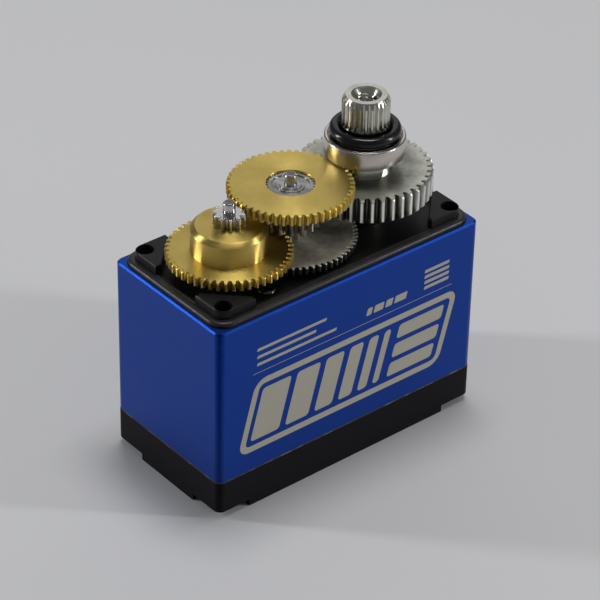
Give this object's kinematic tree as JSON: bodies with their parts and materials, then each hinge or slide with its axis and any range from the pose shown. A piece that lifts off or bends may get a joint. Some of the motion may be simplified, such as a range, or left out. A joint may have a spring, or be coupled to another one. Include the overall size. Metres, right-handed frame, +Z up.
{
  "type": "servo motor",
  "caption": "Standard-size metal-geared servo with its gear cover off: blue metal shell on a black base, open brass and steel gear train, splined output shaft in a ball bearing.",
  "frame": {"origin": "middle of the base, on the plane that the servo stands on", "axes": "+Z up along the output shaft, +X towards the output shaft's end of the case, +Y across the case; the printed long side faces -Y"},
  "size_m": [0.0406, 0.0206, 0.0439],
  "materials": {
    "moulded_black": "fine-grained matte black moulded plastic",
    "tray_black": "semi-gloss black moulded plastic",
    "seal_rubber": "smooth dark rubber",
    "o_ring_rubber": "glossy black rubber",
    "gasket_fibre": "thin dark brown fibre gasket sheet",
    "blue_anodised": "satin blue anodised aluminium",
    "brass": "turned satin brass",
    "dark_steel": "dark sintered steel with bright tooth tips",
    "machined_steel": "machined steel",
    "bearing_steel": "ground and polished bearing steel",
    "can_steel": "nickel-plated drawn steel",
    "bronze": "sintered bronze",
    "magnet": "plated magnet",
    "laminations": "stacked silicon steel",
    "copper": "enamelled copper wire",
    "carbon": "carbon brush on a spring strip",
    "tinned": "tinned terminal",
    "pot_plastic": "dark plastic",
    "phenolic": "printed resistive track",
    "board_green": "solder-masked circuit board",
    "chip_black": "moulded component body",
    "ceramic": "ceramic component",
    "cage_plastic": "natural nylon"
  },
  "bodies": {
    "case": {"bottom_cover": "moulded_black", "cable_gland": "seal_rubber", "bottom_gasket": "gasket_fibre", "middle_case": "blue_anodised", "gear_tray": "tray_black", "tray_seal": "seal_rubber", "middle_pin": "machined_steel", "side_pin": "machined_steel", "motor_can": "can_steel", "motor_end_cap": "moulded_black", "motor_magnets": "magnet", "motor_front_bush": "bronze", "motor_rear_bush": "bronze", "motor_brushes": "carbon", "motor_terminals": "tinned", "motor_screws": "can_steel", "lower_bearing_outer_ring": "bearing_steel", "potentiometer_housing": "pot_plastic", "potentiometer_track": "phenolic", "potentiometer_leads": "tinned", "control_board": "board_green", "microcontroller": "chip_black", "crystal": "can_steel", "power_transistors": "chip_black", "ceramic_capacitors": "ceramic", "bulk_capacitor": "chip_black"},
    "output": {"output_gear": "machined_steel", "upper_bearing_inner_ring": "bearing_steel", "lower_bearing_inner_ring": "bearing_steel", "shaft_o_ring": "o_ring_rubber", "potentiometer_shaft": "pot_plastic", "potentiometer_wiper": "bronze"},
    "third_gear": {"third_gear_wheel": "brass", "third_gear_pinion": "machined_steel"},
    "second_gear": {"second_gear_wheel": "brass", "second_gear_pinion": "machined_steel"},
    "first_gear": {"first_gear_wheel": "dark_steel", "first_gear_pinion": "dark_steel"},
    "rotor": {"motor_shaft": "machined_steel", "motor_pinion": "brass", "rotor_core": "laminations", "rotor_windings": "copper", "commutator": "copper"},
    "lower_cage": {"lower_bearing_balls": "bearing_steel", "lower_bearing_cage": "cage_plastic"},
    "upper_ring": {"upper_bearing_outer_ring": "bearing_steel", "upper_bearing_shields": "bearing_steel"},
    "upper_cage": {"upper_bearing_balls": "bearing_steel", "upper_bearing_cage": "cage_plastic"}
  },
  "joints": [
    {"name": "output_shaft", "type": "hinge", "parent": "case", "child": "output", "pos_m": [0.0101, 0, 0.0323], "axis": [0, 0, 1], "range_deg": [-90, 90]},
    {"name": "third_gear_spin", "type": "hinge", "parent": "case", "child": "third_gear", "pos_m": [-0.0015, 0, 0.034], "axis": [0, 0, 1], "range_deg": [-217.17, 217.17]},
    {"name": "second_gear_spin", "type": "hinge", "parent": "case", "child": "second_gear", "pos_m": [-0.0108, 0, 0.031], "axis": [0, 0, 1], "range_deg": [-987.12, 987.12]},
    {"name": "first_gear_spin", "type": "hinge", "parent": "case", "child": "first_gear", "pos_m": [-0.0015, 0, 0.0283], "axis": [0, 0, 1], "range_deg": [-4113.02, 4113.02]},
    {"name": "motor_spin", "type": "hinge", "parent": "case", "child": "rotor", "pos_m": [-0.0108, 0, 0.0172], "axis": [0, 0, 1], "range_deg": [-28334.12, 28334.12]},
    {"name": "lower_bearing_cage_spin", "type": "hinge", "parent": "case", "child": "lower_cage", "pos_m": [0.0101, 0, 0.0248], "axis": [0, 0, 1], "range_deg": [-39.4, 39.4]},
    {"name": "upper_bearing_ring_spin", "type": "hinge", "parent": "output", "child": "upper_ring", "pos_m": [0.0101, 0, 0.0372], "axis": [0, 0, 1], "continuous": true},
    {"name": "upper_bearing_cage_spin", "type": "hinge", "parent": "output", "child": "upper_cage", "pos_m": [0.0101, 0, 0.0372], "axis": [0, 0, 1], "continuous": true}
  ],
  "couplings": [
    {"joint": "third_gear_spin", "follows": "output_shaft", "ratio": -2.4118},
    {"joint": "second_gear_spin", "follows": "output_shaft", "ratio": 10.963},
    {"joint": "first_gear_spin", "follows": "output_shaft", "ratio": -45.677},
    {"joint": "motor_spin", "follows": "output_shaft", "ratio": 314.67},
    {"joint": "lower_bearing_cage_spin", "follows": "output_shaft", "ratio": 0.4375},
    {"joint": "upper_bearing_cage_spin", "follows": "upper_bearing_ring_spin", "ratio": 0.5625}
  ]
}
